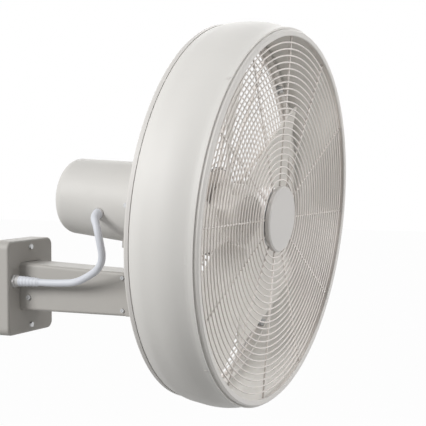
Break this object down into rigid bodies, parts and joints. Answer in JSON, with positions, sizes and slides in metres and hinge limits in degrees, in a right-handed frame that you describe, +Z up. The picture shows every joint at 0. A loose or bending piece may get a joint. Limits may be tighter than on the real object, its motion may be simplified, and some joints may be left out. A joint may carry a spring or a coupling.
{
  "type": "wall mounted fan",
  "caption": "Drum-shaped wall fan on a box arm: the head swivels and tilts, and a five-blade impeller spins behind a round wire guard.",
  "frame": {"origin": "middle of the wall plate's back face, at the centre of its four fixing holes, on the wall", "axes": "+Z up, -Y out of the wall into the room, +X to the right for someone who faces the wall"},
  "size_m": [0.454, 0.3914, 0.4531],
  "materials": {
    "drum_paint": "satin",
    "grey_paint": "satin",
    "light_plastic": "satin",
    "guard_wire": "satin",
    "blade_plastic": "satin",
    "dark_plastic": "satin",
    "cord_sheath": "satin",
    "bearing_plastic": "satin",
    "cast_alloy": "satin",
    "lamination": "satin",
    "copper": "satin",
    "capacitor_can": "satin",
    "circuit_board": "satin",
    "plated_steel": "polished"
  },
  "bodies": {
    "wall_arm": {"wall_plate": "grey_paint", "wall_cover": "grey_paint", "cover_screws": "plated_steel", "terminal_block": "dark_plastic", "arm_spigot": "grey_paint", "spigot_bolts": "plated_steel", "arm": "grey_paint", "arm_root_screws": "plated_steel", "arm_end": "grey_paint", "arm_end_screws": "plated_steel", "swivel_bushes": "bearing_plastic", "thrust_washer": "bearing_plastic", "cord_gland": "light_plastic", "mains_cord": "cord_sheath"},
    "swivel_yoke": {"yoke": "grey_paint", "swivel_pin": "plated_steel", "swivel_nut": "plated_steel", "tilt_bolt": "plated_steel", "tilt_nut": "plated_steel", "friction_washers": "bearing_plastic"},
    "fan_head": {"saddle": "grey_paint", "saddle_screws": "plated_steel", "motor_housing": "grey_paint", "housing_screws": "plated_steel", "motor_front_shield": "cast_alloy", "motor_rear_shield": "cast_alloy", "motor_bolts": "plated_steel", "stator_core": "lamination", "stator_winding": "copper", "front_bearing": "plated_steel", "rear_bearing": "plated_steel", "run_capacitor": "capacitor_can", "board_posts": "plated_steel", "control_board": "circuit_board", "cord_grommet": "light_plastic", "rear_guard": "guard_wire", "guard_bolts": "plated_steel", "guard_clips": "plated_steel", "drum": "drum_paint", "rear_ring": "light_plastic", "ring_screws": "plated_steel", "front_guard": "guard_wire", "front_ring": "light_plastic", "centre_cap": "light_plastic", "cap_backplate": "plated_steel", "cap_screw": "plated_steel", "guard_latch": "light_plastic"},
    "rotor": {"impeller": "blade_plastic", "impeller_nut": "light_plastic", "drive_pin": "plated_steel", "shaft": "plated_steel", "rotor_core": "lamination"}
  },
  "joints": [
    {"name": "swivel", "type": "hinge", "parent": "wall_arm", "child": "swivel_yoke", "pos_m": [0, -0.205, 0.0263], "axis": [0, 0, 1], "range_deg": [-45, 45], "deforming": ["mains_cord"]},
    {"name": "tilt", "type": "hinge", "parent": "swivel_yoke", "child": "fan_head", "pos_m": [0, -0.205, 0.042], "axis": [1, 0, 0], "range_deg": [-15, 25], "deforming": ["mains_cord"]},
    {"name": "blade_spin", "type": "hinge", "parent": "fan_head", "child": "rotor", "pos_m": [0, -0.36986, 0.09405], "axis": [0, 0.9966, 0.0826], "continuous": true}
  ]
}
